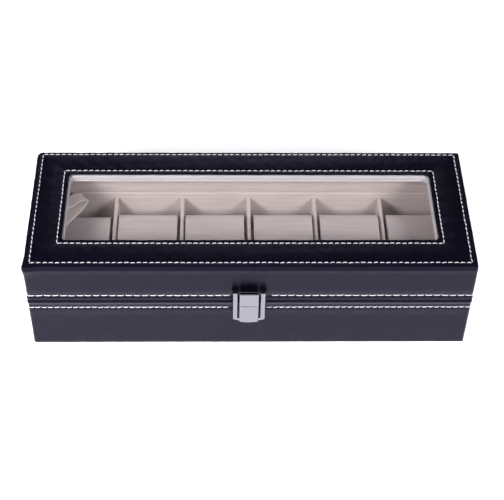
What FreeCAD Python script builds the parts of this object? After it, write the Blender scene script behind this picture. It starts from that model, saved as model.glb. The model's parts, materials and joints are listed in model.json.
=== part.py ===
import FreeCAD, Part
import os

# Watch box for six watches: a board case covered in stitched leather, with a windowed lid on two butt
# hinges at the back and a flap latch at the front. Millimetres: +X to the right, +Y to the back, +Z up.
# The origin is the centre of the underside.

V = FreeCAD.Vector
UP = V(0, 0, 1)
RIGHT = V(1, 0, 0)
BACK = V(0, 1, 0)

# ---- the case -------------------------------------------------------------------------------------------
length = 300.0
depth = 111.0
height = 78.0
split_z = 45.3            # where the lid meets the base
rim_gap = 0.6             # daylight between the two leather rims
corner_r = 1.5            # upright corners of the covered case
rim_r = 0.6               # rounding of the leather where it turns over a rim

# ---- what a wall is made of, from outside to inside ------------------------------------------------------
leather = 0.8
board = 5.4
lining = 1.8

# ---- the floor, from below to above ----------------------------------------------------------------------
cover = 0.6
cover_inset = 1.5         # how far the felt cover stays inside the leather
floor_board = 5.0
floor_lining = 1.6
leather_lift = 0.3        # the leather's lower edge stops short of the table

# ---- the lid's top, from above to below ------------------------------------------------------------------
top_leather = 1.6         # leather over thin padding
top_board = 5.4
glass = 2.0
bezel = 1.4
top_edge_r = 1.0
window_x = 125.4          # half the window's length
window_front = -30.3
window_back = 33.7
window_r = 3.0
window_reveal = 0.8       # how far the bezel shows inside the leather at the window's two ends
bezel_upstand = 1.3       # the bezel's wall inside the cut-out
glass_lap = 4.7           # how far the glass reaches under the leather
glass_play = 0.2
joint_play = 0.1

# ---- seams ----------------------------------------------------------------------------------------------
thread_w = 0.7
thread_h = 0.35
lid_seam_z = 50.1
base_seam_z = 38.0
outer_seam_x = 146.0
outer_seam_front = -51.0
outer_seam_back = 53.0
window_seam_x = 129.4
window_seam_front = -33.5
window_seam_back = 36.4
seam_to_latch = 0.6       # where a wall seam stops beside the latch

# ---- compartments ----------------------------------------------------------------------------------------
places = 6
pitch = 47.8
divider_t = 3.0
divider_top = 40.8
divider_r = 0.9
cushion_w = 42.6
cushion_l = 76.0
cushion_h = 36.5
cushion_back = 33.6
cushion_end_r = 12.0
cushion_lift = 0.3        # clearance under a cushion
cushion_shift = [(-0.3, -2.5), (-0.3, 0.0), (-0.5, 0.0), (0.4, 0.0), (0.1, 0.0), (0.4, 0.0)]

# ---- hinges at the back ----------------------------------------------------------------------------------
hinge_x = 90.0
hinge_axis_y = 57.6
leaf_l = 30.0
leaf_t = leather
leaf_front = 50.0
knuckle_r = 1.7
knuckle_neck = 0.7        # how deep the leaf's neck runs into its knuckles
hinge_pin_r = 0.8
running = 0.05            # radial clearance of a pin that turns
knuckle_gap = 0.2
pin_head_r = 1.25
pin_head_t = 0.4
screw_r = 0.8
screw_head_r = 1.6
screw_l = 9.0
screw_dx = 9.0
screw_y = 52.4
screw_slot_w = 0.4
screw_slot_d = 0.3
fastener_play = 0.03

# ---- latch at the front ----------------------------------------------------------------------------------
latch_x = -1.2
latch_half = 11.65
latch_top = 57.3
latch_corner_z = 31.8     # where the bottom arc meets the sides
latch_bottom = 29.0       # lowest point of the arc
latch_gap = 0.4           # between the flap's back and the leather
ear_proud = 4.9
ear_inner = 7.05
ear_bevel_in = 0.85
ear_bevel_out = 0.95
panel_half = 6.35
panel_proud = 5.9
panel_t = 1.2
panel_bevel = 0.9
panel_crease_r = 0.35
flap_top_r = 0.9
slot_bottom = 32.2
latch_pin_y = 2.5         # pin's distance from the leather
latch_pin_z = 55.9
latch_pin_r = 0.6
latch_knuckle_r = 1.2
latch_knuckle_half = 5.8
plate_t = 0.8
hinge_plate_bottom = 47.2
catch_plate_bottom = 32.0
catch_plate_top = 43.5
nose_z = 33.5             # tip of the nose that the flap's lip lies under
nose_tip = 0.6
nose_top = 2.0
nose_proud = 3.6
nose_half = 5.0
nose_play = 0.25          # how far the lip stands clear in front of the nose
lip_r = 0.5
nail_r = 0.5
nail_head_r = 1.1
nail_head_t = 0.4
nail_l = 4.5
nail_dx = 3.5
nail_inset = 2.3          # a plate's nails from the end that they are nearest

# ---- ribbon that stops the lid ---------------------------------------------------------------------------
ribbon_w = 10.3
ribbon_t = 0.3
ribbon_off_wall = 0.25
ribbon_turn = 2.1         # how far from the wall the ribbon turns away from its glued tabs
ribbon_tab = 7.5
ribbon_low = 44.4         # top of the tab glued to the base
ribbon_high = 54.4        # bottom of the tab glued to the lid

# ---- heights and half sizes that follow ------------------------------------------------------------------
half_l = length / 2
half_d = depth / 2
base_rim = split_z - rim_gap / 2
lid_rim = split_z + rim_gap / 2
board_x = half_l - leather
board_y = half_d - leather
lining_x = board_x - board
lining_y = board_y - board
room_x = lining_x - lining
room_y = lining_y - lining
floor_board_top = cover + floor_board
floor_z = floor_board_top + floor_lining
top_board_top = height - top_leather
top_board_bottom = top_board_top - top_board
glass_bottom = top_board_top - glass
ceiling_z = top_board_bottom - bezel

parts = {}


def slab(x, y, z):
    """A box between the low and high values given for each axis."""
    return Part.makeBox(x[1] - x[0], y[1] - y[0], z[1] - z[0], V(x[0], y[0], z[0]))


def both(half):
    """The low and high values of a size centred on zero."""
    return (-half, half)


def edges_along(shape, axis):
    """The straight edges that run along an axis."""
    found = []
    for edge in shape.Edges:
        run = edge.lastVertex().Point - edge.firstVertex().Point
        straight = edge.Curve.TypeId == "Part::GeomLine"
        if straight and abs(abs(run.dot(axis)) - run.Length) < 1e-6:
            found.append(edge)
    return found


def block(x, y, z, corner):
    """A box with rounded upright corners."""
    shape = slab(x, y, z)
    return shape.makeFillet(corner, edges_along(shape, UP))


def rim_edges(shape, z, x_limit):
    """The outer edges of a block at one height, where the leather turns over."""
    found = []
    for edge in shape.Edges:
        box = edge.BoundBox
        flat = abs(box.ZMin - z) < 1e-6 and abs(box.ZMax - z) < 1e-6
        outside = max(abs(box.XMin), abs(box.XMax)) > x_limit or max(abs(box.YMin), abs(box.YMax)) > board_y
        if flat and outside:
            found.append(edge)
    return found


def rod(radius, start, axis, run):
    """A round bar from a point along an axis."""
    return Part.makeCylinder(radius, run, start, axis)


def prism(points, run):
    """A solid made by moving a flat outline along a vector."""
    return Part.Face(Part.makePolygon(points + [points[0]])).extrude(run)


# ---- boards, linings and leather -------------------------------------------------------------------------
def hinge_centres():
    return (-hinge_x, hinge_x)


def leaf_recess(z):
    """Where the leather rim is cut away for the two hinge leaves."""
    half = leaf_l / 2 + joint_play
    cuts = [slab((x - half, x + half), (leaf_front - joint_play, half_d + 1), z) for x in hinge_centres()]
    return cuts[0].fuse(cuts[1])


def pilot_holes(start_z, direction):
    """Holes in a back board's edge for the hinge screws."""
    holes = None
    for x in hinge_centres():
        for dx in (-screw_dx, screw_dx):
            start = V(x + dx, screw_y, start_z)
            hole = rod(screw_r + fastener_play, start, UP * direction, screw_l + 0.5)
            holes = hole if holes is None else holes.fuse(hole)
    return holes


def wall_boards(prefix, z, screw_side):
    """Front and back boards run the full length, and the side boards stand between them."""
    parts[prefix + "_front_board"] = slab(both(board_x), (-board_y, -lining_y), z)
    back = slab(both(board_x), (lining_y, board_y), z)
    edge_z = z[1] if screw_side < 0 else z[0]
    parts[prefix + "_back_board"] = back.cut(pilot_holes(edge_z, screw_side))
    parts[prefix + "_left_board"] = slab((-board_x, -lining_x), both(lining_y), z)
    parts[prefix + "_right_board"] = slab((lining_x, board_x), both(lining_y), z)


def wall_linings(prefix, z):
    """Velvet-covered card panels glued inside the four walls."""
    parts[prefix + "_front_lining"] = slab(both(lining_x), (-lining_y, -room_y), z)
    parts[prefix + "_back_lining"] = slab(both(lining_x), (room_y, lining_y), z)
    parts[prefix + "_left_lining"] = slab((-lining_x, -room_x), both(room_y), z)
    parts[prefix + "_right_lining"] = slab((room_x, lining_x), both(room_y), z)


def nail_holes(z):
    """Holes for a latch plate's two nails, through the leather and into the front board."""
    holes = None
    for dx in (-nail_dx, nail_dx):
        start = V(latch_x + dx, -half_d - 1, z)
        hole = rod(nail_r + fastener_play, start, BACK, nail_l + 1.5)
        holes = hole if holes is None else holes.fuse(hole)
    return holes


def base_leather():
    """Leather round the base's walls, turned over the rim as far as the lining."""
    shell = block(both(half_l), both(half_d), (leather_lift, base_rim), corner_r)
    shell = shell.makeFillet(rim_r, rim_edges(shell, base_rim, board_x))
    shell = shell.cut(slab(both(board_x), both(board_y), (0, base_rim - leather)))
    shell = shell.cut(slab(both(lining_x), both(lining_y), (0, height)))
    return shell.cut(leaf_recess((base_rim - leather, base_rim + 1)))


def lid_leather():
    """Leather round the lid's walls, turned under the rim as far as the lining."""
    shell = block(both(half_l), both(half_d), (lid_rim, top_board_top), corner_r)
    shell = shell.makeFillet(rim_r, rim_edges(shell, lid_rim, board_x))
    shell = shell.cut(slab(both(board_x), both(board_y), (lid_rim + leather, height)))
    shell = shell.cut(slab(both(lining_x), both(lining_y), (0, height)))
    return shell.cut(leaf_recess((lid_rim - 1, lid_rim + leather)))


def window_opening(grow, z, corner):
    """The window's cut-out, larger all round by a given amount."""
    return block(both(window_x + grow), (window_front - grow, window_back + grow), z, corner)


def top_leather_panel():
    panel = block(both(half_l), both(half_d), (top_board_top, height), corner_r)
    panel = panel.makeFillet(top_edge_r, rim_edges(panel, height, board_x))
    opening = block(both(window_x + window_reveal), (window_front, window_back), (0, height + 1), window_r)
    return panel.cut(opening)


def lid_top_board():
    """Board with the window cut out and a rebate that the glass drops into from above."""
    frame = slab(both(board_x), both(board_y), (top_board_bottom, top_board_top))
    cut_out = window_opening(bezel_upstand + joint_play, (0, height), window_r)
    rebate = slab(
        both(window_x + glass_lap + glass_play),
        (window_front - glass_lap - glass_play, window_back + glass_lap + glass_play),
        (glass_bottom, height),
    )
    return frame.cut(cut_out).cut(rebate)


def window_bezel():
    """Velvet-covered frame under the lid's top, with an upstand that lines the cut-out up to the glass."""
    flange = slab(both(room_x), both(room_y), (ceiling_z, top_board_bottom))
    upstand = window_opening(bezel_upstand, (ceiling_z, glass_bottom), window_r)
    return flange.fuse(upstand).cut(window_opening(0, (0, height), window_r)).removeSplitter()


def make_case():
    parts["underside_cover"] = slab(both(board_x - cover_inset), both(board_y - cover_inset), (0, cover))
    parts["base_bottom_board"] = slab(both(board_x), both(board_y), (cover, floor_board_top))
    wall_boards("base", (floor_board_top, base_rim - leather), -1)
    parts["base_front_board"] = parts["base_front_board"].cut(nail_holes(catch_nail_z()))
    parts["base_leather_wrap"] = base_leather().cut(nail_holes(catch_nail_z()))
    parts["floor_lining"] = slab(both(lining_x), both(lining_y), (floor_board_top, floor_z))
    wall_linings("base", (floor_z, base_rim))


def make_lid():
    wall_boards("lid", (lid_rim + leather, top_board_bottom), 1)
    parts["lid_front_board"] = parts["lid_front_board"].cut(nail_holes(hinge_nail_z()))
    parts["lid_top_board"] = lid_top_board()
    parts["lid_skirt_leather"] = lid_leather().cut(nail_holes(hinge_nail_z()))
    parts["lid_top_leather"] = top_leather_panel()
    wall_linings("lid", (lid_rim, top_board_bottom))
    parts["window_bezel"] = window_bezel()
    parts["glass_pane"] = slab(
        both(window_x + glass_lap),
        (window_front - glass_lap, window_back + glass_lap),
        (glass_bottom, top_board_top),
    )


# ---- seams -----------------------------------------------------------------------------------------------
def wall_seam(z):
    """A thread line round the walls, broken where the latch covers it."""
    band = (z - thread_w / 2, z + thread_w / 2)
    outer = block(both(half_l + thread_h), both(half_d + thread_h), band, corner_r + thread_h)
    ring = outer.cut(block(both(half_l), both(half_d), band, corner_r))
    gap = latch_half + seam_to_latch
    return ring.cut(slab((latch_x - gap, latch_x + gap), (-half_d - 1, 0), (z - 1, z + 1)))


def top_seam(x, front, back):
    """A rectangular thread line on the lid's top."""
    half = thread_w / 2
    z = (height, height + thread_h)
    outer = slab(both(x + half), (front - half, back + half), z)
    return outer.cut(slab(both(x - half), (front + half, back - half), z))


def make_seams():
    parts["base_wall_stitching"] = wall_seam(base_seam_z)
    parts["lid_wall_stitching"] = wall_seam(lid_seam_z)
    parts["top_outer_stitching"] = top_seam(outer_seam_x, outer_seam_front, outer_seam_back)
    parts["window_stitching"] = top_seam(window_seam_x, window_seam_front, window_seam_back)


# ---- compartments ----------------------------------------------------------------------------------------
def divider(x):
    """Velvet-covered card with a softened top edge."""
    card = slab((x - divider_t / 2, x + divider_t / 2), both(room_y), (floor_z, divider_top))
    top = [edge for edge in edges_along(card, BACK) if edge.BoundBox.ZMin > divider_top - 1e-6]
    return card.makeFillet(divider_r, top)


def cushion(x, back):
    """A block of padding with rounded ends, as wide as its compartment allows."""
    bottom = floor_z + cushion_lift
    across = (x - cushion_w / 2, x + cushion_w / 2)
    pad = slab(across, (back - cushion_l, back), (bottom, bottom + cushion_h))
    return pad.makeFillet(cushion_end_r, edges_along(pad, RIGHT))


def make_compartments():
    for number in range(1, places):
        parts["divider_%d" % number] = divider((number - places / 2) * pitch)
    for number, (dx, dy) in enumerate(cushion_shift, start=1):
        centre = (number - (places + 1) / 2) * pitch
        parts["cushion_%d" % number] = cushion(centre + dx, cushion_back + dy)


# ---- hinges at the back ----------------------------------------------------------------------------------
def hinge_leaf(x, z, spans):
    """A leaf flush with its rim, rolled into knuckles that cover the given spans of the pin."""
    leaf = slab((x - leaf_l / 2, x + leaf_l / 2), (leaf_front, half_d), z)
    neck_y = hinge_axis_y - knuckle_r + knuckle_neck
    for low, high in spans:
        start = V(x + low, hinge_axis_y, split_z)
        leaf = leaf.fuse(slab((x + low, x + high), (half_d, neck_y), z))
        leaf = leaf.fuse(rod(knuckle_r, start, RIGHT, high - low))
    leaf = leaf.cut(rod(hinge_pin_r + running, V(x - leaf_l, hinge_axis_y, split_z), RIGHT, 2 * leaf_l))
    return leaf.removeSplitter()


def screw(x, face_z, direction, play):
    """A countersunk screw whose head is flush with the leaf; play makes the hole that it sits in."""
    start = V(x, screw_y, face_z)
    head = Part.makeCone(screw_head_r + play, screw_r + play, leaf_t, start, UP * direction)
    return head.fuse(rod(screw_r + play, start, UP * direction, screw_l)).removeSplitter()


def screws(face_z, direction, play, slotted):
    """The screws of both leaves on one rim, as separate solids."""
    found = []
    for x in hinge_centres():
        for dx in (-screw_dx, screw_dx):
            one = screw(x + dx, face_z, direction, play)
            if slotted:
                slot_x = (x + dx - screw_head_r, x + dx + screw_head_r)
                slot_y = (screw_y - screw_slot_w / 2, screw_y + screw_slot_w / 2)
                slot_z = sorted((face_z, face_z + screw_slot_d * direction))
                one = one.cut(slab(slot_x, slot_y, slot_z))
            found.append(one)
    return Part.makeCompound(found)


def hinge_pin(x):
    """A pin with a small head at each end of the knuckles."""
    half = leaf_l / 2 + running
    start = V(x - half - pin_head_t, hinge_axis_y, split_z)
    pin = rod(hinge_pin_r, start, RIGHT, 2 * (half + pin_head_t))
    for low in (-half - pin_head_t, half):
        pin = pin.fuse(rod(pin_head_r, V(x + low, hinge_axis_y, split_z), RIGHT, pin_head_t))
    return pin.removeSplitter()


def make_hinges():
    third = leaf_l / 6
    outer = [(-leaf_l / 2, -third - knuckle_gap / 2), (third + knuckle_gap / 2, leaf_l / 2)]
    centre = [(-third + knuckle_gap / 2, third - knuckle_gap / 2)]
    for side, x in zip(("left", "right"), hinge_centres()):
        base_leaf = hinge_leaf(x, (base_rim - leaf_t, base_rim), outer)
        lid_leaf = hinge_leaf(x, (lid_rim, lid_rim + leaf_t), centre)
        parts["base_hinge_leaf_" + side] = base_leaf.cut(screws(base_rim, -1, fastener_play, False))
        parts["lid_hinge_leaf_" + side] = lid_leaf.cut(screws(lid_rim, 1, fastener_play, False))
        parts["hinge_pin_" + side] = hinge_pin(x)
    parts["base_hinge_screws"] = screws(base_rim, -1, 0, True)
    parts["lid_hinge_screws"] = screws(lid_rim, 1, 0, True)


# ---- latch at the front ----------------------------------------------------------------------------------
def hinge_nail_z():
    return hinge_plate_bottom + nail_inset


def catch_nail_z():
    return catch_plate_top - nail_inset


def front(y):
    """The Y of a point that stands a given distance in front of the leather."""
    return -half_d - y


def nails(z):
    """Two round-headed nails that hold a latch plate, as separate solids."""
    found = []
    for dx in (-nail_dx, nail_dx):
        shank = rod(nail_r, V(latch_x + dx, front(plate_t + nail_head_t), z), BACK, nail_l + plate_t)
        head = rod(nail_head_r, V(latch_x + dx, front(plate_t + nail_head_t), z), BACK, nail_head_t)
        rim = [edge for edge in head.Edges if edge.BoundBox.YMax < front(plate_t + nail_head_t) + 1e-6]
        found.append(head.makeFillet(nail_head_t * 0.7, rim).fuse(shank).removeSplitter())
    return Part.makeCompound(found)


def latch_bore(radius):
    half = latch_half + 1
    return rod(radius, V(latch_x - half, front(latch_pin_y), latch_pin_z), RIGHT, 2 * half)


def hinge_plate():
    """The plate on the lid. Its upper edge turns outwards and curls up round the latch pin."""
    x = (latch_x - latch_knuckle_half, latch_x + latch_knuckle_half)
    curl_bottom = latch_pin_z - latch_knuckle_r
    plate_top = latch_pin_z - latch_pin_r - 0.1
    plate = slab(x, (front(plate_t), front(0)), (hinge_plate_bottom, plate_top))
    bend = slab(x, (front(latch_pin_y), front(plate_t)), (curl_bottom, plate_top))
    start = V(x[0], front(latch_pin_y), latch_pin_z)
    plate = plate.fuse(bend).fuse(rod(latch_knuckle_r, start, RIGHT, x[1] - x[0]))
    return plate.cut(latch_bore(latch_pin_r + fastener_play)).cut(nail_holes(hinge_nail_z())).removeSplitter()


def catch_plate():
    """The plate on the base, with the nose that holds down the flap's lip."""
    x = (latch_x - latch_knuckle_half, latch_x + latch_knuckle_half)
    plate = slab(x, (front(plate_t), front(0)), (catch_plate_bottom, catch_plate_top))
    low = nose_z - nose_tip / 2
    outline = [
        V(latch_x - nose_half, front(plate_t), nose_z + nose_top),
        V(latch_x - nose_half, front(nose_proud), low + nose_tip),
        V(latch_x - nose_half, front(nose_proud), low),
        V(latch_x - nose_half, front(plate_t), low - nose_tip),
    ]
    nose = prism(outline, RIGHT * (2 * nose_half))
    return plate.fuse(nose).cut(nail_holes(catch_nail_z())).removeSplitter()


def ear(side):
    """One side bar of the flap, narrower at the front than against the leather."""
    low = latch_bottom - 1
    outline = [
        V(latch_x + side * ear_inner, front(latch_gap), low),
        V(latch_x + side * latch_half, front(latch_gap), low),
        V(latch_x + side * (latch_half - ear_bevel_out), front(ear_proud), low),
        V(latch_x + side * (ear_inner + ear_bevel_in), front(ear_proud), low),
    ]
    return prism(outline, UP * (latch_top - low))


def centre_panel():
    """The flap's front panel: bevelled all round, with a crease across it at the height of the lid's rim."""
    x = (latch_x - panel_half, latch_x + panel_half)
    z = (latch_bottom - 1, latch_top)
    plate = slab(x, (front(panel_proud), front(panel_proud - panel_t)), z)
    face = [edge for edge in plate.Edges if edge.BoundBox.YMax < front(panel_proud) + 1e-6]
    sides = [edge for edge in face if edge.BoundBox.ZMin > latch_bottom - 1 - 1e-6 and edge.Length > 1]
    plate = plate.makeChamfer(panel_bevel * 0.5, sides)
    inner = latch_x - panel_half + panel_bevel
    crease = rod(panel_crease_r, V(inner, front(panel_proud), split_z), RIGHT, 2 * (panel_half - panel_bevel))
    return plate.cut(crease)


def bottom_lip():
    """The lip that joins both side bars and the panel; shut, it lies just below the catch plate's nose."""
    half = latch_half - ear_bevel_out
    x = (latch_x - half, latch_x + half)
    lip = slab(x, (front(ear_proud), front(nose_proud + nose_play)), (latch_bottom - 1, slot_bottom))
    front_edges = [edge for edge in edges_along(lip, RIGHT) if edge.BoundBox.YMax < front(ear_proud) + 1e-6]
    return lip.makeFillet(lip_r, [edge for edge in front_edges if edge.BoundBox.ZMin > slot_bottom - 1e-6])


def bottom_arc():
    """Everything below the arc of the flap's lower edge."""
    rise = latch_corner_z - latch_bottom
    radius = (latch_half**2 + rise**2) / (2 * rise)
    reach = 2 * panel_proud
    across = (latch_x - 2 * latch_half, latch_x + 2 * latch_half)
    below = slab(across, (front(reach), front(0)), (latch_bottom - rise, latch_corner_z))
    return below.cut(rod(radius, V(latch_x, front(reach), latch_bottom + radius), BACK, reach))


def flap():
    body = ear(-1).fuse(ear(1)).fuse(centre_panel()).fuse(bottom_lip())
    body = body.cut(bottom_arc()).cut(latch_bore(latch_pin_r + running))
    tops = [
        edge
        for edge in edges_along(body, RIGHT)
        if edge.BoundBox.ZMin > latch_top - 1e-6 and abs(edge.BoundBox.YMin - front(latch_gap)) < 1e-6
    ]
    return body.makeFillet(flap_top_r, tops).removeSplitter()


def latch_pin():
    half = latch_half - 0.9
    return rod(latch_pin_r, V(latch_x - half, front(latch_pin_y), latch_pin_z), RIGHT, 2 * half)


def make_latch():
    parts["latch_hinge_plate"] = hinge_plate()
    parts["latch_plate_nails"] = nails(hinge_nail_z())
    parts["latch_pin"] = latch_pin()
    parts["latch_catch_plate"] = catch_plate()
    parts["catch_plate_nails"] = nails(catch_nail_z())
    parts["latch_flap"] = flap()


# ---- ribbon that stops the lid ---------------------------------------------------------------------------
def ribbon_route():
    """Centre points from the base's left wall to the lid's, each with the ribbon's width direction."""
    wall_x = -room_x + ribbon_off_wall
    return [
        (V(wall_x, 6.0, ribbon_low - ribbon_tab), V(0, 1, 0)),
        (V(wall_x, 6.0, ribbon_low), V(0, 1, 0)),
        (V(wall_x + ribbon_turn, 7.8, 45.3), V(-0.3, 0.95, 0)),
        (V(-131.0, 20.5, 45.6), V(-0.7, 0.71, 0)),
        (V(-119.6, 38.4, 46.4), V(-0.6, 0.8, 0)),
        (V(-118.3, 40.1, 47.6), V(-0.6, 0.8, 0)),
        (V(-119.4, 39.6, 48.9), V(-0.6, 0.8, 0)),
        (V(-130.0, 30.6, 50.8), V(-0.63, 0.78, 0)),
        (V(wall_x + ribbon_turn, 22.4, 52.8), V(-0.3, 0.95, 0)),
        (V(wall_x, 21.0, ribbon_high), V(0, 1, 0)),
        (V(wall_x, 21.0, ribbon_high + ribbon_tab), V(0, 1, 0)),
    ]


def ribbon():
    """A thin strip through the route, square to it at every point."""
    route = ribbon_route()
    sections = []
    for i, (centre, across) in enumerate(route):
        ahead = route[min(i + 1, len(route) - 1)][0]
        behind = route[max(i - 1, 0)][0]
        run = (ahead - behind).normalize()
        wide = across.normalize() * (ribbon_w / 2)
        thick = run.cross(wide).normalize() * (ribbon_t / 2)
        corners = [centre - wide - thick, centre + wide - thick, centre + wide + thick, centre - wide + thick]
        sections.append(Part.makePolygon(corners + [corners[0]]))
    return Part.makeLoft(sections, True, True)


def make_ribbon():
    parts["stay_ribbon"] = ribbon()


def main():
    make_case()
    make_lid()
    make_seams()
    make_compartments()
    make_hinges()
    make_latch()
    make_ribbon()
    os.makedirs("parts", exist_ok=True)
    for name, shape in parts.items():
        shape.exportStep("parts/%s.step" % name)
        valid = "valid" if shape.isValid() else "NOT VALID"
        print("%-24s solids %d  %s  volume %.1f" % (name, len(shape.Solids), valid, shape.Volume))
    print(len(parts), "nodes")


main()
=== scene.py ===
# %% [markdown]
# # Dressing a watch box
# The real box is a case of thin boards. Black leather is glued over it and sewn in pale rows, velvet lines
# it, and a lid with a window turns on two small hinges. The CAD model already says where every piece is and
# how it moves, so this script never moves anything. It loads that frame, and then gives each piece its true
# surface and finish. Sizes here are in millimetres, and one helper turns them into Blender's metres.

# %% Load the frame
import json
import math

import bmesh
import bpy
import numpy as np
from mathutils import Matrix, Vector


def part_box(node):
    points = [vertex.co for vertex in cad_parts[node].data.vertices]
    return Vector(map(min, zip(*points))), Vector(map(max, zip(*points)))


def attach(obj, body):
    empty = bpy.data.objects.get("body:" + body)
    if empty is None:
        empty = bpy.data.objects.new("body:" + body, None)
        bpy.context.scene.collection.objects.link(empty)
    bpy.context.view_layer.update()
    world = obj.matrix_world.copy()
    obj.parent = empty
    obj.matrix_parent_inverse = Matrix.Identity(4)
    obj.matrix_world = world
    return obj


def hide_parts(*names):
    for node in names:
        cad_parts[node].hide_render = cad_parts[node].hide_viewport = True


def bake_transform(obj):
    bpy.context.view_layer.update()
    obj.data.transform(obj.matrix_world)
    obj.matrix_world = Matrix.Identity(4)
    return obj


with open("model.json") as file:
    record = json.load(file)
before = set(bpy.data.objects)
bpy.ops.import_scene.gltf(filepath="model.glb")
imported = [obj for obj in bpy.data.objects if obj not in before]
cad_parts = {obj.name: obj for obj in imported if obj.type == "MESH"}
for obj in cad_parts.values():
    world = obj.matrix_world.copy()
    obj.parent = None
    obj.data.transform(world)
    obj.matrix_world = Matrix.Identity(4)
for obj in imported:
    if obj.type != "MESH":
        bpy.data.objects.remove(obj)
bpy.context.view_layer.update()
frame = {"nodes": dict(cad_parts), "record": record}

MM = 0.001
body_of = {node: body for body, nodes in frame["record"]["behaviour"]["bodies"].items() for node in nodes}


def cad(node):
    """A node's lowest and highest corner in millimetres."""
    low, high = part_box(node)
    return np.array(low) / MM, np.array(high) / MM


# %% [markdown]
# ## Camera, floor and light
# A long lens far from a small thing keeps its edges nearly parallel, which is how things in a catalogue are
# shown. Four numbers describe the camera: how far round it stands, how high, how far away and how much it
# leans. Those numbers and the point that it looks at make its matrix.

# %% The camera
LOOK_AT = np.array([1.97, 0.0, 35.21])
AROUND, ABOVE, LEAN = np.radians([-2.047, 47.052, 1.488])
DISTANCE = 929.1
LENS = 93.65


def camera_axes():
    """Right, up and back directions: back points to the lens, and the lean turns the other two."""
    flat_share = math.cos(ABOVE)
    back = np.array([math.sin(AROUND) * flat_share, -math.cos(AROUND) * flat_share, math.sin(ABOVE)])
    level = np.cross([0, 0, 1], back)
    level /= np.linalg.norm(level)
    upright = np.cross(back, level)
    right = math.cos(LEAN) * level + math.sin(LEAN) * upright
    up = math.cos(LEAN) * upright - math.sin(LEAN) * level
    return right, up, back


camera = bpy.data.objects.new("camera", bpy.data.cameras.new("camera"))
bpy.context.scene.collection.objects.link(camera)
camera.data.lens = LENS
camera.data.clip_start = 0.01
camera.data.clip_end = 50
pose = np.eye(4)
pose[:3, 0], pose[:3, 1], pose[:3, 2] = camera_axes()
pose[:3, 3] = (LOOK_AT + DISTANCE * pose[:3, 2]) * MM
camera.matrix_world = Matrix(pose)
bpy.context.scene.camera = camera
print("camera at", [round(float(v), 3) for v in pose[:3, 3]])

# %% [markdown]
# Black leather has almost no colour of its own, so it is drawn by what it mirrors. The front wall mirrors
# the white floor before it and looks slate grey. The top mirrors what is above and behind the box, so that
# side stays dark. Two soft boxes stand in front, one at each side, the left one a little stronger. Light
# from both sides is why each divider throws a shadow both ways, and why the two end bays, under the sides
# of the lid, are the darkest. A weak light behind gives the back of the lid its faint sheen, and a wide
# weak sun keeps the floor an even white.

# %% Light
def area_light(name, place, target, size, power, colour):
    """A square soft box at a place in metres, turned to face a target."""
    light = bpy.data.objects.new(name, bpy.data.lights.new(name, "AREA"))
    bpy.context.scene.collection.objects.link(light)
    light.data.size = size
    light.data.energy = power
    light.data.color = colour
    light.location = place
    away = Vector(np.array(place) - np.array(target))
    light.rotation_euler = away.to_track_quat("Z", "Y").to_euler()
    light.visible_camera = False
    return light


BOX_CENTRE = (0.0, 0.03, 0.05)
area_light("left_box", (-0.36, -0.37, 0.43), BOX_CENTRE, 0.20, 5.4, (1.0, 0.965, 0.96))
area_light("right_box", (0.36, -0.37, 0.43), BOX_CENTRE, 0.20, 3.7, (1.0, 0.965, 0.98))
area_light("back_wall", (0.0, 1.0, 0.62), BOX_CENTRE, 0.5, 1.3, (0.88, 0.90, 1.0))
sun = bpy.data.objects.new("wide_sun", bpy.data.lights.new("wide_sun", "SUN"))
bpy.context.scene.collection.objects.link(sun)
sun.data.energy = 0.45
sun.data.color = (0.93, 0.95, 1.0)
sun.data.angle = math.radians(40)
sun.rotation_euler = (math.radians(28), 0, 0)

world = bpy.data.worlds.new("studio")
bpy.context.scene.world = world
world.use_nodes = True
sky = world.node_tree
sky.nodes.clear()
out = sky.nodes.new("ShaderNodeOutputWorld")
seen = sky.nodes.new("ShaderNodeBackground")
lights = sky.nodes.new("ShaderNodeBackground")
choose = sky.nodes.new("ShaderNodeMixShader")
ray = sky.nodes.new("ShaderNodeLightPath")
seen.inputs["Color"].default_value = (0.90, 0.90, 0.91, 1)
lights.inputs["Color"].default_value = (0.05, 0.05, 0.062, 1)
sky.links.new(ray.outputs["Is Camera Ray"], choose.inputs[0])
sky.links.new(lights.outputs[0], choose.inputs[1])
sky.links.new(seen.outputs[0], choose.inputs[2])
sky.links.new(choose.outputs[0], out.inputs[0])
bpy.context.scene.view_settings.view_transform = "Standard"


# %% [markdown]
# ## Shader maths as plain expressions
# Node trees are easier to read as arithmetic. `Value` wraps an output socket, so that `1 - mask * 0.3` adds
# the two Math nodes that it needs. `Finish` holds one material's tree, and its single method `node` adds
# any other node: its settings are set first, then the values or links of its sockets.

# %% A socket that does arithmetic
class Value:
    """An output socket. Arithmetic on it adds Math nodes to the same tree."""

    def __init__(self, finish, socket):
        self.finish = finish
        self.socket = socket

    def math(self, operation, *terms):
        return self.finish.node("ShaderNodeMath", dict(enumerate(terms)), operation=operation)

    def __add__(self, other):
        return self.math("ADD", self, other)

    def __sub__(self, other):
        return self.math("SUBTRACT", self, other)

    def __rsub__(self, other):
        return self.math("SUBTRACT", other, self)

    def __mul__(self, other):
        return self.math("MULTIPLY", self, other)

    def __pow__(self, other):
        return self.math("POWER", self, other)

    __radd__ = __add__
    __rmul__ = __mul__

    def clip(self):
        return self.finish.node("ShaderNodeMath", {0: self, 1: 0.0}, operation="ADD", use_clamp=True)


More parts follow.
